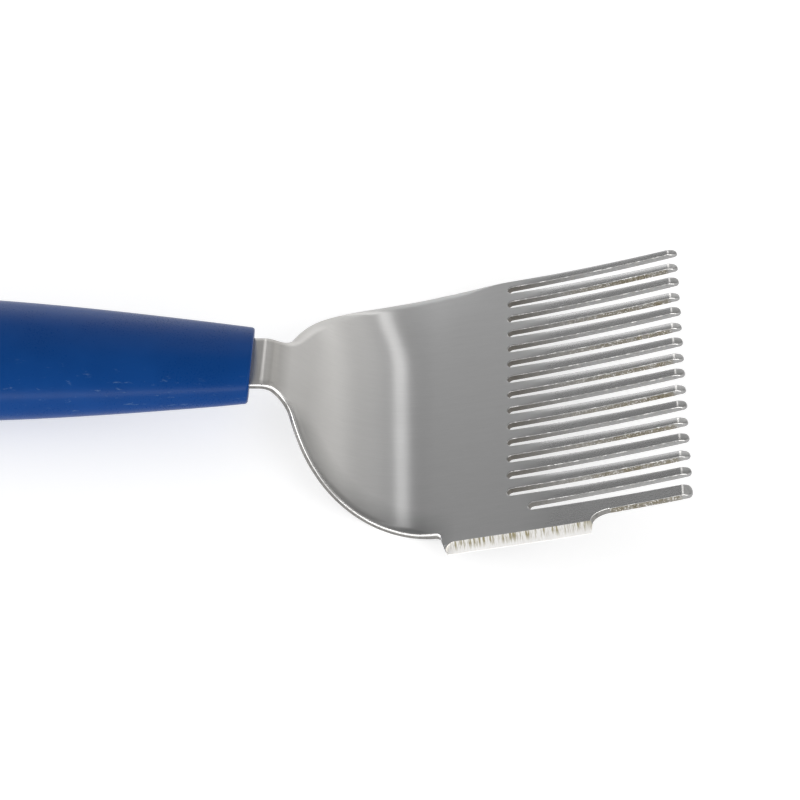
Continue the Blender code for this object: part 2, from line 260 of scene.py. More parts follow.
def scraper_tab():
    """The near edge from the shoulder, out round the scraper tab and back to the last tine."""
    out = -NEAR_HALF_WIDTH - TAB_REACH
    entry_at = tab_entry()
    short_of_end = math.sqrt(SHOULDER_RADIUS**2 - (NEAR_SHOULDER_END - entry_at) ** 2)
    edge = NEAR_HALF_WIDTH - SHOULDER_RADIUS + short_of_end
    entry = arc((entry_at, -edge - TAB_FILLET), TAB_FILLET, 90.0, 0.0, 8)
    width = TAB_REACH - BEVEL_WIDTH
    exit_centre = (TAB_END + TAB_EXIT_LEAN + TAB_EXIT_LENGTH, -NEAR_HALF_WIDTH - width)
    exit_arc = arc(exit_centre, width, 180.0, 90.0, 12, TAB_EXIT_LENGTH / width)
    run_out = [(TAB_START + BEVEL_RUN_OUT * i / 16, out) for i in range(16)]
    cutting_edge = run_out + [(TAB_END, out)]
    return entry, cutting_edge, exit_arc


def tagged(points, kind, rounding):
    """Each outline point with the surface that starts there and the rounding of its edges."""
    return [(s, w, kind, rounding) for s, w in points]


def sheet_outline():
    """The whole sheet, anticlockwise from the tang's end, with long stretches divided."""
    near = tang_edge(-1)[1:] + shoulder(NEAR_HALF_WIDTH, NEAR_SHOULDER_END, -1)
    near = [point for point in near if point[0] < tab_entry()]
    entry, cutting_edge, exit_arc = scraper_tab()
    points = tagged(near, RIM, RIM_ROUNDING)
    points += tagged(entry, RIM, RIM_ROUNDING)
    points += tagged(cutting_edge, GROUND, CUTTING_EDGE_ROUNDING)
    points += tagged(exit_arc[:-1], RIM, FLANK_ROUNDING)
    points += tagged(exit_arc[-1:], CUT, FLANK_ROUNDING)
    for index in range(TINES, 1, -1):
        points += tagged(tip(*tine_edges(index)), CUT, TIP_ROUNDING)
        points += tagged(slot(index - 1), CUT, SLOT_ROUNDING)
    last = tip(*tine_edges(1))
    points += tagged(last[:-1], CUT, TIP_ROUNDING) + tagged(last[-1:], RIM, TIP_ROUNDING)
    far = tang_edge(1) + shoulder(FAR_HALF_WIDTH, FAR_SHOULDER_END, 1)
    points += tagged(far[::-1], RIM, RIM_ROUNDING)
    return divided(points, EDGE_SPACING)


def divided(points, spacing):
    """Adds evenly spaced points to every stretch longer than the spacing."""
    result = []
    for here, after in zip(points, points[1:] + points[:1]):
        length = math.dist(here[:2], after[:2])
        steps = max(1, math.ceil(length / spacing - 1e-6))
        for i in range(steps):
            t = i / steps
            rounding = min(here[3], after[3]) if 0 < i else here[3]
            s = here[0] + (after[0] - here[0]) * t
            w = here[1] + (after[1] - here[1]) * t
            result.append((s, w, here[2], rounding))
    return result


# Ground surfaces


def tine_of(w):
    return min(max(round(TINES / 2 + 0.5 - w / PITCH), 1), TINES)


def bevel_top(s):
    """Where the ground scraper face meets the upper face: a line that curves out at its back end."""
    edge = -NEAR_HALF_WIDTH - TAB_REACH
    from_end = (TAB_START + BEVEL_RUN_OUT - s) / BEVEL_RUN_OUT
    if from_end <= 0.0:
        return edge + BEVEL_WIDTH
    if from_end >= 1.0:
        return edge
    return edge + BEVEL_WIDTH * math.sqrt(1.0 - from_end**2)


def on_bevel(s, w):
    end = TAB_END + TAB_EXIT_LEAN * (w + NEAR_HALF_WIDTH + TAB_REACH) / BEVEL_WIDTH
    return TAB_START < s <= end + 1e-6 and w < bevel_top(s) - 1e-6


def tine_root(w):
    """How far along the sheet the tine at w starts."""
    return LAST_SLOT_ROOT if tine_of(w) >= TINES - 1 else SLOT_ROOT


def across_tine(s, w):
    """Where a point is across its tine, -1 near to 1 far, and the tine's half width."""
    near_edge, far_edge = tine_edges(tine_of(w))
    half = (far_edge - near_edge) / 2
    return min(max((w - near_edge) / half - 1.0, -1.0), 1.0), half


def crown_slope(s, w):
    """How steeply a tine's face falls away at its edges."""
    run_in = min(max((s - tine_root(w)) / CROWN_RUN_IN, 0.0), 1.0)
    return math.tan(TINE_CROWN) * run_in * run_in * (3.0 - 2.0 * run_in)


def crown(s, w):
    """How far a tine's face has fallen away from its middle line."""
    if s <= tine_root(w) or tine_of(w) == TINES:
        return 0.0
    across, half = across_tine(s, w)
    return crown_slope(s, w) * half * across * across / 2


def chamfer(s):
    """How far the ground tip is below the face, with a rounded start."""
    slope = TIP_CHAMFER_DEPTH / TIP_CHAMFER_LENGTH
    past = s - RIDGE_LINES[0]
    if past <= 0.0:
        return 0.0
    if past < 2 * RIDGE_ROUNDING:
        return slope * past * past / (4 * RIDGE_ROUNDING)
    return slope * (s - RIDGE)


def smooth(value, low, high):
    """Rises from 0 to 1, gently at both ends."""
    t = min(max((value - low) / (high - low), 0.0), 1.0)
    return t * t * (3.0 - 2.0 * t)


def sink(s, w):
    """How far the upper face has sunk towards the far shoulder, where the press has drawn it down."""
    share = smooth(w, 10 * MM, 20 * MM) * (1.0 - smooth(s, FAR_SHOULDER_END, SLOT_ROOT - 2 * MM))
    if not share:
        return 0.0
    from_edge = FAR_HALF_WIDTH - w
    if s < FAR_SHOULDER_END:
        middle = FAR_HALF_WIDTH - SHOULDER_RADIUS
        from_edge = SHOULDER_RADIUS - math.hypot(s - FAR_SHOULDER_END, w - middle)
    outside = min(max(1.0 - from_edge / SHOULDER_SINK_WIDTH, 0.0), 1.0)
    return SHOULDER_SINK * share * outside * outside


def swell(s):
    """How far the sheet is pushed up across the neck by the handle, and how steeply it rises."""
    from_middle = (s - NECK_SWELL_AT) / NECK_SWELL_LENGTH
    if abs(from_middle) > 3.0:
        return 0.0, 0.0
    height = NECK_SWELL * math.exp(-(from_middle**2))
    return height, -2.0 * from_middle * height / NECK_SWELL_LENGTH


def twist(s, w):
    """How much the spade's surface normals are turned towards its far side. The shape isn't turned."""
    share = smooth(s, 12 * MM, 20 * MM) * (1.0 - smooth(s, 40 * MM, 55 * MM))
    return share * (TWIST * w / (30 * MM) + FAR_TWIST * smooth(w, 13 * MM, 33 * MM))


def edge_fall(s, w, kind):
    """Width and steepness of the soft fall inside an edge, widest on the neck and the shoulders."""
    if kind == GROUND:
        return SMALLEST_FALL_WIDTH, 0.0
    if kind == CUT:
        return CUT_FALL_WIDTH, CUT_FALL_SLOPE
    share = smooth(s, -5.5 * MM, -3.5 * MM)
    narrow = SMALLEST_FALL_WIDTH
    if w < 0.0:
        share *= 1.0 - smooth(s, tab_entry() - 5 * MM, tab_entry())
    elif s > 0.0:
        share *= 1.0 - smooth(s, FAR_SHOULDER_END, SLOT_ROOT)
        narrow = CUT_FALL_WIDTH
    wide = RIM_FALL_WIDTH + (FAR_FALL_WIDTH - RIM_FALL_WIDTH) * smooth(w, 8 * MM, 16 * MM)
    return narrow + (wide - narrow) * share, NEAR_FALL_SLOPE if w < 0.0 else FAR_FALL_SLOPE


def upper_height(s, w):
    """Height of the upper face, which is zero except where it is ground, crowned or sunk."""
    if on_bevel(s, w):
        plane = (BEVEL_WIDTH - NEAR_HALF_WIDTH - TAB_REACH - w) * (SHEET - EDGE_LAND) / BEVEL_WIDTH
        run_out = RUN_OUT_STEEPNESS * (bevel_top(s) - w)
        return -min(plane, run_out)
    return -chamfer(s) - crown(s, w) - sink(s, w)


def upper_normal(s, w):
    """The upper face's normal, away from the ground bevel."""
    step = 0.001 * MM
    along = (upper_height(s + step, w) - upper_height(s - step, w)) / (2 * step)
    across = (sink(s, w - step) - sink(s, w + step)) / (2 * step)
    if s > tine_root(w) and tine_of(w) != TINES:
        across = -crown_slope(s, w) * across_tine(s, w)[0]
    return Vector((-along, -across, 1.0)).normalized()


# Bending


def slope_at(s):
    """The upper face's slope angle at a distance along it."""
    neck = min(max(s / NECK_BEND_RADIUS, 0.0), NECK_BEND_ANGLE)
    spade = min(max((s - SPADE_BEND_START) / SPADE_BEND_RADIUS, 0.0), SPADE_BEND_ANGLE)
    return spade - neck + max(s - SLOT_ROOT, 0.0) / TINE_CURVE_RADIUS


def path_table():
    """Where the upper face is, in fine steps along it."""
    steps = 2200
    s = np.linspace(0.0, TIP + 2 * MM, steps + 1)
    slope = np.array([slope_at((a + b) / 2) for a, b in zip(s[:-1], s[1:])])
    step = s[1]
    x = np.concatenate([[0.0], np.cumsum(step * np.cos(slope))])
    z = np.concatenate([[0.0], np.cumsum(step * np.sin(slope))])
    return s, x, z


PATH = path_table()


def roll_at(s, w):
    """How far a tine is turned about its own length: one away from the near side, the next towards it."""
    tine = tine_of(w)
    if s <= tine_root(w) or tine == TINES:
        return 0.0
    share = (s - tine_root(w)) / (TIP - tine_root(w))
    return TINE_ROLL * share if tine % 2 else -OUTWARD_ROLL * share


def bent(s, w, height):
    """Takes a point of the flat sheet to its place on the bent blade, in the tool frame."""
    slope = slope_at(s)
    roll = roll_at(s, w)
    height += swell(s)[0]
    if roll:
        centre = (TINES / 2 + 0.5 - tine_of(w)) * PITCH
        across, up = w - centre, height + SHEET
        w_rolled = centre + across * math.cos(roll) - up * math.sin(roll)
        height = across * math.sin(roll) + up * math.cos(roll) - SHEET
    else:
        w_rolled = w
    if s <= 0.0:
        x, z = s, 0.0
    else:
        x, z = np.interp(s, PATH[0], PATH[1]), np.interp(s, PATH[0], PATH[2])
    if tine_of(w) % 2 == 0:
        z -= math.tan(TINE_SET) * max(s - tine_root(w), 0.0)
    return Vector((x - height * math.sin(slope), w_rolled, z + height * math.cos(slope)))


def bent_normal(s, w, normal):
    slope = slope_at(s) + swell(s)[1] + twist(s, w)
    roll = roll_at(s, w)
    along, across, up = normal
    rolled_up = across * math.sin(roll) + up * math.cos(roll)
    across, up = across * math.cos(roll) - up * math.sin(roll), rolled_up
    x = along * math.cos(slope) - up * math.sin(slope)
    z = along * math.sin(slope) + up * math.cos(slope)
    return Vector((x, across, z))


# Blade mesh


def placed(name, data):
    """A new object in the scene."""
    obj = bpy.data.objects.new(name, data)
    bpy.context.scene.collection.objects.link(obj)
    return obj


def inward_normals(points):
    """Unit normals into the sheet at each point of an anticlockwise outline."""
    xy = np.array([point[:2] for point in points])
    before = xy - np.roll(xy, 1, axis=0)
    after = np.roll(xy, -1, axis=0) - xy
    before /= np.linalg.norm(before, axis=1)[:, None]
    after /= np.linalg.norm(after, axis=1)[:, None]
    tangent = before + after
    tangent /= np.linalg.norm(tangent, axis=1)[:, None]
    return np.stack([-tangent[:, 1], tangent[:, 0]], axis=1)


class Sheet:
    """Collects the flat sheet's vertices, faces, corner normals and surface kinds."""

    def __init__(self):
        self.points = []
        self.faces = []
        self.normals = []
        self.kinds = []

    def add_point(self, s, w, height):
        self.points.append((s, w, height))
        return len(self.points) - 1

    def add_face(self, corners, normals, kind):
        self.faces.append(corners)
        self.normals.append(normals)
        self.kinds.append(kind)

    def flat_normal(self, corners):
        a, b, c = (Vector(self.points[i]) for i in corners[:3])
        return (b - a).cross(c - a).normalized()


def edge_rings(sheet, points, inward):
    """Rings of vertices: down the soft fall, round the upper edge, down the side and under."""
    levels = [(1, 1.0 - i / FALL_STEPS, 0) for i in range(FALL_STEPS)]
    levels += [(1, 0.0, i) for i in range(ROUNDING_STEPS + 1)]
    levels += [(-1, 0.0, i) for i in range(ROUNDING_STEPS, -1, -1)]
    rings = []
    ring_normals = []
    for face, inside, step in levels:
        ring = []
        normals = []
        for (s, w, kind, rounding), (ns, nw) in zip(points, inward):
            room = SHEET + upper_height(s, w)
            radius = min(rounding, SMALLEST_LAND * room)
            width, slope = edge_fall(s, w, kind)
            if face < 0:
                radius = min(radius, LOWER_ROUNDING)
                width, slope = 0.0, 0.0
            start = math.atan(slope)
            angle = start + (math.pi / 2 - start) * step / ROUNDING_STEPS
            inset = radius * (1.0 - math.sin(angle)) + width * inside
            drop = width * slope * (1.0 - inside) ** 2 / 2 + radius * (math.cos(start) - math.cos(angle))
            at = (s + inset * ns, w + inset * nw)
            height = upper_height(*at) - drop if face > 0 else -SHEET + drop + crown(*at)
            ring.append(sheet.add_point(*at, height))
            top = Vector((0.0, 0.0, 1.0)) if kind == GROUND else upper_normal(*at)
            if face < 0:
                top = Vector((0.0, top.y, -1.0)).normalized()
            tilt = math.atan(slope * (1.0 - inside)) if step == 0 else angle
            outward = Vector((-ns, -nw, 0.0))
            normals.append((outward * math.sin(tilt) + top * math.cos(tilt)).normalized())
        rings.append(ring)
        ring_normals.append(normals)
    return rings, ring_normals


def side_kind(kind, level, s, w, toward):
    """The surface of one strip of an edge, from its soft fall down. toward is 1 on far edges."""
    if kind == GROUND:
        return GROUND
    if level < FALL_STEPS:
        return FACE if s < RIDGE else CUT
    if level == FALL_STEPS + ROUNDING_STEPS:
        return SIDE if kind == RIM else CUT
    on_tine = tine_root(w) + SLOT_ROOT_WIDTH < s < RIDGE
    if kind == RIM:
        return FACE if w > 0.0 else RIM
    if toward > 0 and on_tine:
        return FACE
    if abs(s - RIDGE) < TIP_RIDGE_BAND:
        return RIM
    at_root = s < tine_root(w) + SLOT_ROOT_WIDTH
    return NICKED if (at_root or toward < 0 and on_tine) and level < FALL_STEPS + ROUNDING_STEPS else CUT


def add_sides(sheet, points, inward, rings, ring_normals):
    """Quads between the rings. A corner of the cutting edge keeps its own face's normal."""
    count = len(points)
    for level in range(len(rings) - 1):
        upper, lower = rings[level], rings[level + 1]
        n_upper, n_lower = ring_normals[level], ring_normals[level + 1]
        for i in range(count):
            j = (i + 1) % count
            corners = (upper[i], lower[i], lower[j], upper[j])
            kind = points[i][2]
            if kind == GROUND:
                normals = (sheet.flat_normal(corners),) * 4
            else:
                normals = (n_upper[i], n_lower[i], n_lower[j], n_upper[j])
            s, w = points[i][:2]
            sheet.add_face(corners, normals, side_kind(kind, level, s, w, round(-inward[i][1])))


def interior_grid(boundary):
    """Points inside the sheet, on a grid, none too close to its edge."""
    s_values = np.arange(-TANG_LENGTH, TIP - TIP_CHAMFER_LENGTH, FACE_SPACING)
    w_values = np.arange(-NEAR_HALF_WIDTH - TAB_REACH, FAR_HALF_WIDTH, FACE_SPACING)
    grid = np.array([(s, w) for s in s_values for w in w_values])
    clear = []
    for point in grid:
        nearest = np.hypot(*(boundary - point).T).min()
        if nearest > 0.6 * FACE_SPACING and point[0] < SLOT_ROOT + SLOT_ROOT_WIDTH:
            clear.append(tuple(point))
    for index in range(1, TINES + 1):
        near_edge, far_edge = tine_edges(index)
        middle, half = (near_edge + far_edge) / 2, (far_edge - near_edge) / 2
        start = LAST_SLOT_ROOT if index >= TINES - 1 else SLOT_ROOT
        steps = round((RIDGE - MM - start - SLOT_ROOT_WIDTH) / EDGE_SPACING)
        for i in range(steps + 1):
            s = start + SLOT_ROOT_WIDTH + (RIDGE - MM - start - SLOT_ROOT_WIDTH) * i / steps
            clear += [(s, middle + across * half) for across in TINE_LINES]
        clear.append((TIP - TIP_NOSE, middle))
    return clear


def face_triangles(outer, holes, feature_edges, extra):
    """Triangulates one face of the sheet. outer and holes are loops of (s, w); extra are points inside."""
    coords = [Vector(point) for point in outer]
    loops = [list(range(len(outer)))]
    for hole in holes:
        start = len(coords)
        coords += [Vector(point) for point in hole]
        loops.append(list(range(start, start + len(hole))))
    coords += [Vector(point) for point in extra]
    found = delaunay_2d_cdt(coords, feature_edges, loops, 1, 1e-9)
    return found[0], found[2], found[3]


def in_tang_hole(s, w):
    return any(math.hypot(s - at, w) < TANG_HOLE_RADIUS * 0.999 for at in TANG_HOLES)


def surface_kind(s, w):
    if on_bevel(s, w):
        return GROUND
    if s > RIDGE_LINES[-1]:
        return CUT
    return RIM if s > RIDGE_LINES[0] else FACE


def add_face_surface(sheet, ring, face, feature_loops, hole_rings, more_points):
    """Fills the upper (face 1) or lower (face -1) side of the sheet inside a ring."""
    outer = [sheet.points[i][:2] for i in ring]
    holes = [[sheet.points[i][:2] for i in hole] for hole in hole_rings]
    known = list(ring) + [i for hole in hole_rings for i in hole]
    extra = interior_grid(np.array(outer))
    clearance = TANG_HOLE_RADIUS + MM
    extra = [p for p in extra if all(math.hypot(p[0] - at, p[1]) > clearance for at in TANG_HOLES)]
    extra += more_points
    features = []
    for loop in feature_loops:
        start = len(known) + len(extra)
        inner = loop["inner"]
        chain = [loop["first"]] + list(range(start, start + len(inner))) + [loop["last"]]
        extra += inner
        features += list(zip(chain, chain[1:]))
    coords, triangles, origins = face_triangles(outer, holes, features, extra)
    index = []
    for coord, origin in zip(coords, origins):
        if origin and origin[0] < len(known):
            index.append(known[origin[0]])
            continue
        height = upper_height(coord.x, coord.y) if face > 0 else crown(coord.x, coord.y) - SHEET
        index.append(sheet.add_point(coord.x, coord.y, height))
    for triangle in triangles:
        s = sum(coords[i].x for i in triangle) / 3
        w = sum(coords[i].y for i in triangle) / 3
        if in_tang_hole(s, w):
            continue
        corners = [index[i] for i in triangle]
        flat = sheet.flat_normal(corners)
        if flat.z * face < 0:
            corners.reverse()
            flat = -flat
        kind = surface_kind(s, w) if face > 0 else FACE
        if kind == GROUND:
            normals = [flat] * 3
        else:
            normals = [upper_normal(*sheet.points[i][:2]) for i in corners]
        if face < 0:
            normals = [Vector((0.0, normal.y, -1.0)).normalized() for normal in normals]
        sheet.add_face(corners, normals, kind)


def ridge_features(points):
    """Across each tip, the lines between which the face turns down into the chamfer."""
    features = []
    for ridge in RIDGE_LINES:
        at_ridge = [i for i, point in enumerate(points) if abs(point[0] - ridge) < 1e-7]
        for first, last in zip(at_ridge[::2], at_ridge[1::2]):
            middle = (points[first][1] + points[last][1]) / 2
            half = abs(points[last][1] - points[first][1]) / 2
            inner = [(ridge, middle + across * half) for across in TINE_LINES]
            features.append({"first": first, "last": last, "inner": inner})
    return features


def bevel_feature(points):
    """The scraper bevel's upper line, from the tab's back corner to its front flank."""
    edge = -NEAR_HALF_WIDTH - TAB_REACH
    corner = min(range(len(points)), key=lambda i: math.dist(points[i][:2], (TAB_START, edge)))
    flank_at = (TAB_END + TAB_EXIT_LEAN, edge + BEVEL_WIDTH)
    flank = min(range(len(points)), key=lambda i: math.dist(points[i][:2], flank_at))
    steps = 12
    turns = [math.pi / 2 * i / steps for i in range(1, steps + 1)]
    curved = [TAB_START + BEVEL_RUN_OUT * (1 - math.cos(turn)) for turn in turns]
    straight_steps = 24
    run = TAB_END - TAB_START - BEVEL_RUN_OUT
    straight = [TAB_START + BEVEL_RUN_OUT + run * i / straight_steps for i in range(1, straight_steps)]
    top_line = {"first": corner, "last": flank, "inner": [(s, bevel_top(s)) for s in curved + straight]}
    return top_line, run_out_foot(edge, curved)


def run_out_foot(edge, stations):
    """Points at the foot of the steep wall where the bevel runs out."""
    fall = (SHEET - EDGE_LAND) / BEVEL_WIDTH
    foot = []
    for s in stations:
        up = bevel_top(s) - edge
        foot_up = (RUN_OUT_STEEPNESS * up - fall * BEVEL_WIDTH) / (RUN_OUT_STEEPNESS - fall)
        if foot_up > 2 * CUTTING_EDGE_ROUNDING and s < TAB_START + BEVEL_RUN_OUT - 1e-6:
            foot.append((s, edge + foot_up))
    return foot


def neck_points():
    """Closely spaced points over the bent part of the neck."""
    half = NECK_HALF_WIDTH - RIM_ROUNDING - RIM_FALL_WIDTH - 0.3 * MM
    rows = [(-3.5 + 0.5 * i) * MM for i in range(20)]
    rows = [s + 0.01 * MM for s in rows if abs(s + TANG_SHOULDER) > MM]
    return [(s, half * (j - 3) / 3) for s in rows for j in range(7)]


def hole_wall(sheet, at):
    """The wall of a tang hole, and its rings in the upper and lower face."""
    steps = 32
    circle = arc((at, 0.0), TANG_HOLE_RADIUS, 0.0, 360.0, steps)[:-1]
    upper = [sheet.add_point(s, w, 0.0) for s, w in circle]
    lower = [sheet.add_point(s, w, -SHEET) for s, w in circle]
    for i in range(steps):
        j = (i + 1) % steps
        corners = (upper[j], lower[j], lower[i], upper[i])
        sheet.add_face(corners, (sheet.flat_normal(corners),) * 4, CUT)
    return upper, lower


def make_blade(materials):
    sheet = Sheet()
    points = sheet_outline()
    inward = inward_normals(points)
    rings, ring_normals = edge_rings(sheet, points, inward)
    add_sides(sheet, points, inward, rings, ring_normals)
    walls = [hole_wall(sheet, at) for at in TANG_HOLES]
    top_line, foot = bevel_feature(points)
    features = ridge_features(points) + [top_line]
    upper_rings = [upper for upper, _ in walls]
    add_face_surface(sheet, rings[0], 1, features, upper_rings, foot + neck_points())
    add_face_surface(sheet, rings[-1], -1, [], [lower for _, lower in walls], [])
    mesh = bpy.data.meshes.new("blade")
    mesh.from_pydata([bent(*point) for point in sheet.points], [], sheet.faces)
    flat_map = mesh.uv_layers.new(name="sheet")
    normals = []
    for polygon, corner_normals, kind in zip(mesh.polygons, sheet.normals, sheet.kinds):
        polygon.use_smooth = True
        polygon.material_index = kind
        for loop, normal in zip(polygon.loop_indices, corner_normals):
            s, w, _ = sheet.points[mesh.loops[loop].vertex_index]
            flat_map.data[loop].uv = (s / MM, w / MM)
            normals.append(bent_normal(s, w, normal))
    mesh.normals_split_custom_set(normals)
    for material in materials:
        mesh.materials.append(material)
    return placed("stainless_blade", mesh)


# Handle mesh


def handle_half_width(at):
    """The handle's half width at a distance from its front."""
    growth = math.sin(math.pi / 2 * min(at / WIDEST_AT, 1.0))
    width = FRONT_HALF_WIDTH + (WIDEST_HALF_WIDTH - FRONT_HALF_WIDTH) * growth
    if at < FRONT_ROUNDING:
        inset = 1.0 - at / FRONT_ROUNDING
        width -= FRONT_ROUNDING * (1.0 - math.sqrt(1.0 - inset**2))
    if at > WIDEST_AT:
        run = (at - WIDEST_AT) / (HANDLE_LENGTH - WIDEST_AT)
        fall = 1.0 - (1.0 - run**BUTT_SQUARENESS) ** (1.0 / BUTT_SQUARENESS)
        width -= (WIDEST_HALF_WIDTH - BUTT_HALF_WIDTH) * fall
    return width


def handle_stations():
    """Distances from the handle's front, closer together where its ends round over."""
    front = [FRONT_ROUNDING * (1.0 - math.cos(math.pi / 2 * i / 8)) for i in range(9)]
    middle = [FRONT_ROUNDING + (WIDEST_AT - FRONT_ROUNDING) * i / 40 for i in range(1, 41)]
    butt = [WIDEST_AT + (HANDLE_LENGTH - WIDEST_AT) * math.sin(math.pi / 2 * i / 24) for i in range(1, 25)]
    return front + middle + butt


def section_point(angle):
    """A point of the handle's section at unit half width."""
    across, up = math.cos(angle), math.sin(angle)
    y = math.copysign(abs(across) ** (2 / SQUARENESS), across)
    z = math.copysign(abs(up) ** (2 / SQUARENESS), up)
    return y, FLATNESS * z


def surface_height(x, y):
    """How far the handle's surface is above its middle, at a place in the tool frame."""
    half = handle_half_width(HANDLE_FRONT - x)
    return FLATNESS * half * max(0.0, 1.0 - abs(y / half) ** SQUARENESS) ** (1.0 / SQUARENESS)


def object_from(name, work):
    mesh = bpy.data.meshes.new(name)
    bmesh.ops.recalc_face_normals(work, faces=work.faces)
    work.to_mesh(mesh)
    work.free()
    return placed(name, mesh)


def loft(name, rings):
    """A closed solid through rings of points, capped at both ends."""
    work = bmesh.new()
    verts = [[work.verts.new(point) for point in ring] for ring in rings]
    for first, second in zip(verts, verts[1:]):
        for i in range(len(first)):
            j = (i + 1) % len(first)
            work.faces.new((first[i], first[j], second[j], second[i]))
    work.faces.new(verts[0])
    work.faces.new(verts[-1])
    return object_from(name, work)


def grip_body():
    sides = 96
    rings = []
    for at in handle_stations():
        half = handle_half_width(at)
        section = [section_point(2 * math.pi * (i + 0.5) / sides) for i in range(sides)]
        lean = math.tan(FRONT_LEAN) * max(0.0, 1.0 - at / LEAN_RUN)
        ring = []
        for y, z in section:
            set_back = lean * (FLATNESS * FRONT_HALF_WIDTH - half * z)
            ring.append((HANDLE_FRONT - at - set_back, half * y, half * z + HANDLE_AXIS))
        rings.append(ring)
    return loft("handle_grip", rings)


def hole_cutter():
    """The hanging hole with rounded lips that follow the handle's surface."""
    centre = HANDLE_FRONT - HANDLE_LENGTH + HANG_HOLE_FROM_BUTT
    sides, steps = 64, 6
    columns = []
    for i in range(sides):
        angle = 2 * math.pi * i / sides
        column = []
        for j in range(steps + 1):
            turn = math.pi / 2 * (1 - j / steps)
            radius = HANG_HOLE_RADIUS + HOLE_LIP * (1 - math.cos(turn))
            x, y = centre + radius * math.cos(angle), radius * math.sin(angle)
            height = surface_height(x, y) - HOLE_LIP * (1 - math.sin(turn))
            column.append((x, y, height))
        x, y, height = column[0]
        column.insert(0, (x, y, height + 2 * MM))
        columns.append(column)
    upper = [[column[j] for column in columns] for j in range(steps + 2)]
    lower = [[(x, y, -z) for x, y, z in ring] for ring in reversed(upper)]
    rings = [[(x, y, z + HANDLE_AXIS) for x, y, z in ring] for ring in upper + lower]
    return loft("hole_cutter", rings)


def socket_cutter():
    """Room for the tang, open at the handle's front, with a peg of plastic left through each tang hole."""
    half = TANG_HALF_WIDTH + FIT_GAP
    end = arc((-TANG_LENGTH + TANG_HALF_WIDTH, 0.0), half, 270.0, 90.0, 12)
    mouth = NECK_HALF_WIDTH + FIT_GAP
    deep = -TANG_SHOULDER - FIT_GAP
    outline = end + [(deep, half), (deep, mouth), (-HANDLE_FRONT, mouth), (-HANDLE_FRONT, -mouth)]
    outline += [(deep, -mouth), (deep, -half)]
    pegs = [arc((at, 0.0), TANG_HOLE_RADIUS - FIT_GAP, 0.0, 360.0, 32)[:-1] for at in TANG_HOLES]
    curve = bpy.data.curves.new("socket", "CURVE")
    curve.dimensions = "2D"
    curve.fill_mode = "BOTH"
    curve.extrude = SHEET / 2 + FIT_GAP
    for loop in [outline] + pegs:
        spline = curve.splines.new("POLY")
        spline.points.add(len(loop) - 1)
        for point, (x, y) in zip(spline.points, loop):
            point.co = (x, y, 0.0, 1.0)
        spline.use_cyclic_u = True
    shape = placed("socket", curve)
    work = bmesh.new()
    work.from_mesh(bpy.data.meshes.new_from_object(shape))
    bpy.data.objects.remove(shape, do_unlink=True)
    bmesh.ops.remove_doubles(work, verts=work.verts, dist=1e-6)
    bmesh.ops.translate(work, verts=work.verts, vec=(0.0, 0.0, -SHEET / 2))
    return object_from("socket_cutter", work)


def make_handle(material):
    grip = grip_body()
    for cutter in (hole_cutter(), socket_cutter()):
        modifier = grip.modifiers.new(cutter.name, "BOOLEAN")
        modifier.operation = "DIFFERENCE"
        modifier.solver = "EXACT"
        modifier.object = cutter
        bpy.context.view_layer.update()
        graph = bpy.context.evaluated_depsgraph_get()
        cut = bpy.data.meshes.new_from_object(grip.evaluated_get(graph))
        grip.modifiers.clear()
        grip.data = cut
        bpy.data.objects.remove(cutter, do_unlink=True)
    grip.data.shade_smooth()
    grip.data.set_sharp_from_angle(angle=math.radians(35.0))
    grip.data.materials.clear()
    grip.data.materials.append(material)
    return grip


# Materials


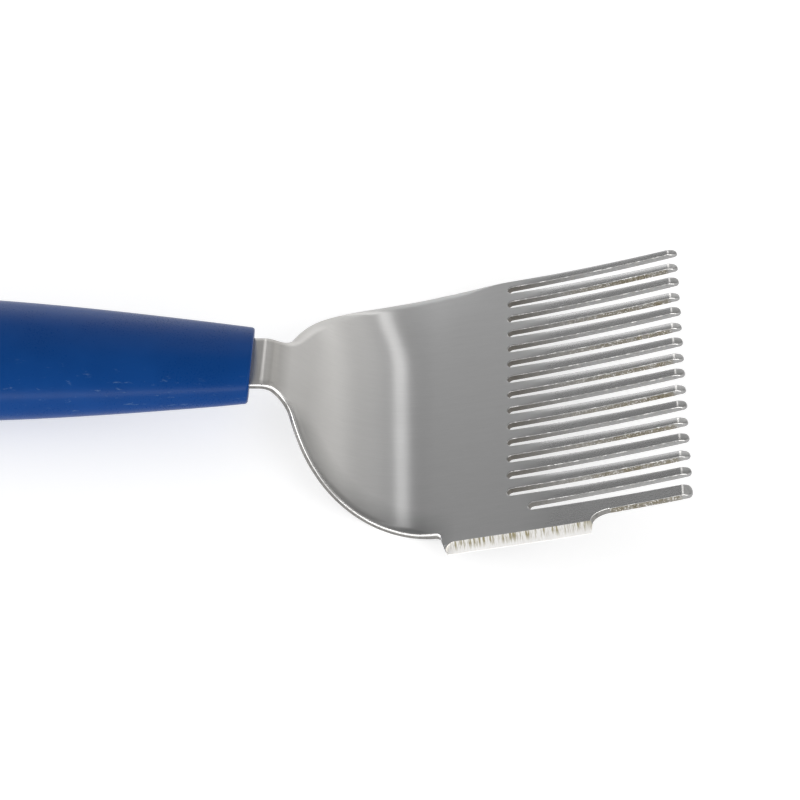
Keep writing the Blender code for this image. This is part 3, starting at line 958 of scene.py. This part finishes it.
class Nodes:
    """Builds one material's node tree."""

    def __init__(self, name):
        self.material = bpy.data.materials.new(name)
        self.material.use_nodes = True
        self.tree = self.material.node_tree
        self.shader = self.tree.nodes["Principled BSDF"]

    def link(self, value, socket):
        if isinstance(value, bpy.types.NodeSocket):
            self.tree.links.new(value, socket)
        else:
            socket.default_value = value

    def make(self, kind, output=0, inputs=None, **settings):
        node = self.tree.nodes.new(kind)
        for name, value in settings.items():
            setattr(node, name, value)
        for name, value in (inputs or {}).items():
            self.link(value, node.inputs[name])
        return node.outputs[output]

    def math(self, operation, a, b=0.0):
        return self.make("ShaderNodeMath", inputs={0: a, 1: b}, operation=operation)

    def times(self, a, b):
        return self.math("MULTIPLY", a, b)

    def remap(self, value, low, high, to_low, to_high):
        inputs = {"Value": value, "From Min": low, "From Max": high, "To Min": to_low, "To Max": to_high}
        return self.make("ShaderNodeMapRange", inputs=inputs)

    def rises(self, value, between):
        """From 0 to 1 between two places."""
        return self.remap(value, *between, 0.0, 1.0)

    def falls(self, value, between):
        """From 1 to 0 between two places."""
        return self.remap(value, *between, 1.0, 0.0)

    def mix(self, factor, a, b, blend="MIX"):
        """A blend of two colours."""
        node = self.tree.nodes.new("ShaderNodeMix")
        node.data_type = "RGBA"
        node.blend_type = blend
        sockets = {socket.identifier: socket for socket in node.inputs}
        self.link(factor, sockets["Factor_Float"])
        self.link(a, sockets["A_Color"])
        self.link(b, sockets["B_Color"])
        return next(socket for socket in node.outputs if socket.identifier == "Result_Color")

    def multiply(self, a, b):
        return self.mix(1.0, a, b, "MULTIPLY")

    def length(self, x, y):
        """The length of a vector in the plane."""
        square = self.math("ADD", self.times(x, x), self.times(y, y))
        return self.math("SQRT", square)

    def separate(self, vector, axis):
        return self.make("ShaderNodeSeparateXYZ", output=axis, inputs={"Vector": vector})

    def sheet_coordinates(self):
        return self.make("ShaderNodeUVMap", uv_map="sheet")

    def scaled(self, vector, scale, offset=(0.0, 0.0, 0.0)):
        inputs = {"Vector": vector, "Scale": scale, "Location": offset}
        return self.make("ShaderNodeMapping", inputs=inputs)

    def object_coordinates(self):
        return self.make("ShaderNodeTexCoord", output="Object")

    def noise(self, vector, scale=1.0, detail=2.0, roughness=0.5):
        inputs = {"Vector": vector, "Scale": scale, "Detail": detail, "Roughness": roughness}
        return self.make("ShaderNodeTexNoise", inputs=inputs)

    def bump(self, height, distance, strength=1.0, normal=None):
        inputs = {"Height": height, "Distance": distance, "Strength": strength}
        if normal is not None:
            inputs["Normal"] = normal
        return self.make("ShaderNodeBump", inputs=inputs)

    def finish(self, **inputs):
        for name, value in inputs.items():
            self.link(value, self.shader.inputs[name.replace("_", " ")])
        return self.material

    def metal(self, colour, roughness, **inputs):
        return self.finish(Base_Color=colour, Metallic=1.0, Roughness=roughness, **inputs)


def grey(value, warmth=0.0):
    return (value * (1 + warmth), value, value * (1 - 1.6 * warmth), 1.0)


def brushed_steel():
    """The sheet's faces: fine grain along the blade, so that reflections spread across it. Their colour holds
    painted shade and a painted warm light tint.
    """
    m = Nodes("brushed_stainless")
    at = m.sheet_coordinates()
    fine = m.noise(m.scaled(at, (0.28, 5.0, 1.0)), detail=4.0, roughness=0.6)
    broad = m.noise(m.scaled(at, (0.06, 0.9, 1.0), (7.0, 3.0, 0.0)), detail=3.0)
    cloudy = m.noise(m.scaled(at, (0.05, 0.05, 1.0)), detail=2.0)
    grain = m.math("ADD", m.times(fine, 0.7), m.times(broad, 0.3))
    tone = m.remap(grain, 0.3, 0.7, 0.0, 1.0)
    colour = m.mix(tone, grey(0.52), grey(0.57))
    across = m.separate(at, "Y")
    radius = SHOULDER_RADIUS / MM
    middle = (NEAR_HALF_WIDTH - SHOULDER_RADIUS) / MM
    # Painted shade: the faces darken towards the near side.
    near_side_shade = m.mix(m.remap(across, -40.0, 30.0, 0.0, 1.0), grey(0.84), grey(1.0))
    along = m.separate(at, "X")
    # Painted shade: the faces are darker over the neck bend.
    bend_shade_share = m.times(m.rises(along, BEND_SHADE_START), m.falls(along, BEND_SHADE_END))
    bend_shade = m.mix(bend_shade_share, grey(1.0), grey(0.70, 0.01))
    # Painted shade: a dark band inside the near rim of the spade.
    from_shoulder = m.math("SUBTRACT", along, NEAR_SHOULDER_END / MM)
    from_middle = m.length(from_shoulder, m.math("ADD", across, middle))
    near_rim = m.rises(from_middle, (radius - 7.0, radius - 1.0))
    rim_shade = m.times(near_rim, m.rises(across, (-8.0, -14.0)))
    rim_shade = m.times(rim_shade, m.falls(along, RIM_SHADE_END))
    # Painted light: a faint warm tint from the neck, fading out across the spade.
    warm = m.mix(m.rises(along, WARM_LIGHT_END), grey(1.0, 0.018), grey(1.0))
    colour = m.multiply(m.multiply(colour, near_side_shade), m.multiply(bend_shade, warm))
    colour = m.multiply(colour, m.mix(rim_shade, grey(1.0), grey(0.66)))
    rough = m.math("ADD", m.remap(fine, 0.3, 0.7, 0.32, 0.36), m.remap(cloudy, 0.3, 0.7, -0.02, 0.02))
    on_tines = m.remap(along, SLOT_ROOT / MM, SLOT_ROOT / MM + 12.0, 0.0, 1.0)
    rough = m.math("SUBTRACT", rough, m.times(on_tines, 0.07))
    tangent = m.make("ShaderNodeTangent", direction_type="UV_MAP", uv_map="sheet")
    normal = m.bump(grain, 0.0012 * MM, m.remap(on_tines, 0.0, 1.0, 1.0, 0.2))
    return m.metal(
        colour,
        rough,
        Anisotropic=m.remap(on_tines, 0.0, 1.0, 0.95, 0.7),
        Anisotropic_Rotation=0.25,
        Tangent=tangent,
        Normal=normal,
    )


def rim_steel():
    """The rounded edges, tumbled smooth, with faint marks round them. Their colour is lighter than the faces'
    as a painted highlight.
    """
    m = Nodes("tumbled_steel_edge")
    at = m.object_coordinates()
    marks = m.noise(m.scaled(at, (900.0, 900.0, 2600.0)), detail=3.0)
    patches = m.noise(at, scale=260.0, detail=2.0)
    # Painted highlight: a lighter grey than the faces, to brighten the line along the edges.
    colour = m.mix(m.remap(patches, 0.35, 0.65, 0.0, 1.0), grey(0.70, 0.015), grey(0.84, 0.01))
    rough = m.remap(marks, 0.3, 0.7, 0.24, 0.36)
    return m.metal(colour, rough, Normal=m.bump(marks, 0.006 * MM, 0.6))


def side_steel():
    """The blanked wall of the sheet: rougher than the rims, dark grey as painted shade, with fine lines across
    its thickness.
    """
    m = Nodes("blanked_steel_wall")
    at = m.object_coordinates()
    tear = m.noise(m.scaled(at, (1500.0, 1500.0, 500.0)), detail=4.0, roughness=0.65)
    # Painted shade: the wall's dark grey.
    colour = m.mix(m.remap(tear, 0.3, 0.7, 0.0, 1.0), grey(0.17, 0.02), grey(0.30, 0.03))
    rough = m.remap(tear, 0.3, 0.7, 0.32, 0.42)
    return m.metal(colour, rough, Normal=m.bump(tear, 0.02 * MM, 0.6))


def cut_steel():
    """The sides of the tines and the slot roots: sheared metal, every other tine rough and stained. Their dark
    grey is partly painted shade, darkest towards the slot roots.
    """
    m = Nodes("sheared_steel")
    at = m.object_coordinates()
    sheet = m.sheet_coordinates()
    pitches = m.math("DIVIDE", m.separate(sheet, "Y"), PITCH / MM)
    tine = m.math("FLOOR", m.math("SUBTRACT", TINES / 2 + 1.0, pitches))
    even = m.math("SUBTRACT", 1.0, m.math("MODULO", tine, 2.0))
    along = m.separate(sheet, "X")
    outer = m.times(m.rises(along, STAIN_START), m.falls(along, STAIN_END))
    rusty = m.times(even, outer)
    tear = m.noise(m.scaled(at, (1100.0, 1100.0, 900.0)), detail=5.0, roughness=0.7)
    stain = m.noise(at, scale=420.0, detail=4.0, roughness=0.6)
    speck = m.remap(m.noise(at, scale=2400.0, detail=2.0), 0.56, 0.66, 0.0, 1.0)
    tone = m.remap(tear, 0.3, 0.7, 0.0, 1.0)
    # Painted shade: the plain walls' dark grey, darker still and warmer towards the slot roots.
    plain = m.mix(tone, grey(0.30, 0.01), grey(0.44, 0.005))
    plain = m.multiply(plain, m.mix(m.rises(along, ROOT_SHADE), grey(0.46, 0.06), grey(1.0)))
    stained = m.mix(tone, (0.12, 0.10, 0.065, 1.0), (0.30, 0.27, 0.20, 1.0))
    colour = m.mix(m.times(rusty, m.remap(stain, 0.35, 0.6, 0.5, 1.0)), plain, stained)
    colour = m.mix(m.times(speck, m.times(rusty, 0.7)), colour, grey(0.9, 0.01))
    rough = m.remap(tear, 0.3, 0.7, 0.34, 0.50)
    strength = m.math("ADD", 0.35, m.times(rusty, 0.5))
    return m.metal(colour, rough, Normal=m.bump(tear, 0.05 * MM, strength))


def nicked_steel():
    """The near upper edge of the tines: sheared, with dashes here and there that are smoother and lighter in
    colour, as painted glints.
    """
    m = Nodes("nicked_steel_edge")
    at = m.sheet_coordinates()
    dashes = m.noise(m.scaled(at, (0.55, 0.9, 1.0)), detail=4.0, roughness=0.7)
    # Painted glints: the dashes are a lighter grey, and smoother.
    bright = m.remap(dashes, 0.50, 0.62, 0.0, 1.0)
    colour = m.mix(bright, grey(0.32, 0.01), grey(0.66, 0.01))
    return m.metal(colour, m.remap(dashes, 0.3, 0.7, 0.42, 0.28))


def ground_steel():
    """The ground scraper edge: bright and creamy, with dark grinding marks, most at its top."""
    m = Nodes("ground_steel")
    at = m.sheet_coordinates()
    marks = m.noise(m.scaled(at, (2.2, 0.22, 1.0)), detail=3.0, roughness=0.6)
    fine = m.noise(m.scaled(at, (8.0, 0.5, 1.0)), detail=3.0, roughness=0.6)
    edge = -(NEAR_HALF_WIDTH + TAB_REACH) / MM
    height = m.remap(m.separate(at, "Y"), edge + 0.4, edge + BEVEL_WIDTH / MM, 0.0, 1.0)
    deep = m.times(m.remap(marks, 0.50, 0.60, 0.0, 1.0), m.remap(height, 0.0, 0.6, 0.1, 1.0))
    thin = m.times(m.remap(fine, 0.52, 0.62, 0.0, 0.55), m.remap(height, 0.0, 0.4, 0.2, 1.0))
    burnt = m.remap(m.separate(at, "X"), TAB_END / MM - 1.6, TAB_END / MM - 0.4, 0.0, 0.75)
    dark = m.math("MAXIMUM", m.math("MAXIMUM", deep, thin), m.times(burnt, height))
    light = m.mix(m.remap(marks, 0.35, 0.5, 0.0, 1.0), grey(0.95, 0.02), grey(0.99, 0.01))
    colour = m.mix(dark, light, (0.36, 0.32, 0.20, 1.0))
    rough = m.remap(marks, 0.3, 0.7, 0.42, 0.54)
    return m.metal(colour, rough, Normal=m.bump(marks, 0.03 * MM, 0.8))


def blue_plastic():
    """Satin moulded plastic: a soft dull skin with pits, flow marks and scuffs on its near side."""
    m = Nodes("satin_blue_plastic")
    at = m.object_coordinates()
    skin = m.noise(at, scale=2600.0, detail=3.0, roughness=0.6)
    waves = m.noise(m.scaled(at, (18.0, 60.0, 60.0)), detail=2.0)
    patches = m.noise(at, scale=55.0, detail=3.0)
    scuff_shape = m.noise(m.scaled(at, (260.0, 900.0, 900.0)), detail=4.0, roughness=0.7)
    worn_side = m.rises(m.separate(at, "Y"), (-3.5 * MM, -8.0 * MM))
    scuffs = m.times(m.remap(scuff_shape, 0.62, 0.70, 0.0, 0.40), worn_side)
    deep = (0.0015, 0.039, 0.178, 1.0)
    light = (0.0030, 0.047, 0.204, 1.0)
    colour = m.mix(m.remap(patches, 0.35, 0.65, 0.0, 1.0), deep, light)
    colour = m.mix(scuffs, colour, (0.10, 0.17, 0.30, 1.0))
    uneven = m.remap(patches, 0.35, 0.65, -0.02, 0.03)
    rough = m.math("ADD", m.remap(skin, 0.3, 0.7, 0.25, 0.37), uneven)
    normal = m.bump(skin, 0.016 * MM, 0.7, m.bump(waves, 0.05 * MM, 0.5))
    return m.finish(Base_Color=colour, Roughness=rough, Normal=normal, Specular_IOR_Level=0.11)


def floor_surface():
    m = Nodes("pale_floor")
    at = m.object_coordinates()
    cloud = m.noise(at, scale=3.0, detail=2.0)
    colour = m.mix(cloud, grey(0.66), grey(0.68))
    return m.finish(Base_Color=colour, Roughness=0.8, Emission_Color=grey(1.0), Emission_Strength=FLOOR_GLOW)


# The object


def extent(obj):
    """A piece's lowest and highest corner."""
    places = np.array([vert.co for vert in obj.data.vertices])
    return Vector(places.min(axis=0)), Vector(places.max(axis=0))


def lay_down(blade, handle):
    """Turns both pieces from the tool frame to the way the tool lies, and moves them to the CAD's place."""
    turn = Matrix.Rotation(REST_TILT, 4, "Y")
    for piece in (blade, handle):
        piece.data.transform(turn)
    low, high = extent(blade)
    cad_blade_low, cad_blade_high = (Vector(corner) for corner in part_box("fork_blade"))
    across = (cad_blade_low.y + cad_blade_high.y - low.y - high.y) / 2
    shift = Vector((cad_blade_high.x - high.x, across, cad_blade_low.z - low.z))
    for piece in (blade, handle):
        piece.data.transform(Matrix.Translation(shift))


blade = make_blade([brushed_steel(), rim_steel(), side_steel(), cut_steel(), ground_steel(), nicked_steel()])
handle = make_handle(blue_plastic())
lay_down(blade, handle)
for piece, node, slot_name in (
    (blade, "fork_blade", "stainless_steel"),
    (handle, "handle", "blue_plastic"),
):
    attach(piece, "root")
    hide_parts(node)


# Floor, light and camera


def make_floor():
    """A pale sheet that the tool lies on."""
    half = 3.0
    mesh = bpy.data.meshes.new("floor")
    square = [(-half, -half, 0), (half, -half, 0), (half, half, 0), (-half, half, 0)]
    mesh.from_pydata(square, [], [(0, 1, 2, 3)])
    mesh.materials.append(floor_surface())
    placed("floor", mesh)


def softbox(name, direction, distance, size, radiance):
    """A rectangular soft light that faces the tool from a direction. radiance is how bright it looks."""
    light = bpy.data.lights.new(name, "AREA")
    light.shape = "RECTANGLE"
    light.size, light.size_y = size
    light.energy = radiance * math.pi * size[0] * size[1]
    lamp = placed(name, light)
    toward = Vector(direction).normalized()
    lamp.location = AIM + toward * distance
    lamp.rotation_euler = (-toward).to_track_quat("-Z", "Y").to_euler()


def make_camera():
    """The camera looks down at the tool from its near side, a little turned about its own axis."""
    camera_data = bpy.data.cameras.new("camera")
    camera_data.sensor_width = SENSOR_WIDTH
    camera_data.lens = LENS
    camera_data.clip_start = 0.01
    camera = placed("camera", camera_data)
    level = CAMERA_DISTANCE * math.cos(CAMERA_ELEVATION)
    height = CAMERA_DISTANCE * math.sin(CAMERA_ELEVATION)
    back = Vector((level * math.sin(CAMERA_AZIMUTH), -level * math.cos(CAMERA_AZIMUTH), height))
    camera.location = AIM + back
    upright = (-back).to_track_quat("-Z", "Y")
    camera.rotation_mode = "QUATERNION"
    camera.rotation_quaternion = upright @ Matrix.Rotation(CAMERA_ROLL, 3, "Z").to_quaternion()
    bpy.context.scene.camera = camera


def make_light():
    world = bpy.data.worlds.new("studio")
    world.use_nodes = True
    background = world.node_tree.nodes["Background"]
    background.inputs["Color"].default_value = (1.0, 1.0, 1.0, 1.0)
    background.inputs["Strength"].default_value = BACKGROUND
    bpy.context.scene.world = world
    for row in SOFTBOXES:
        softbox(*row)


make_floor()
make_camera()
make_light()
bpy.context.scene.view_settings.view_transform = "Standard"
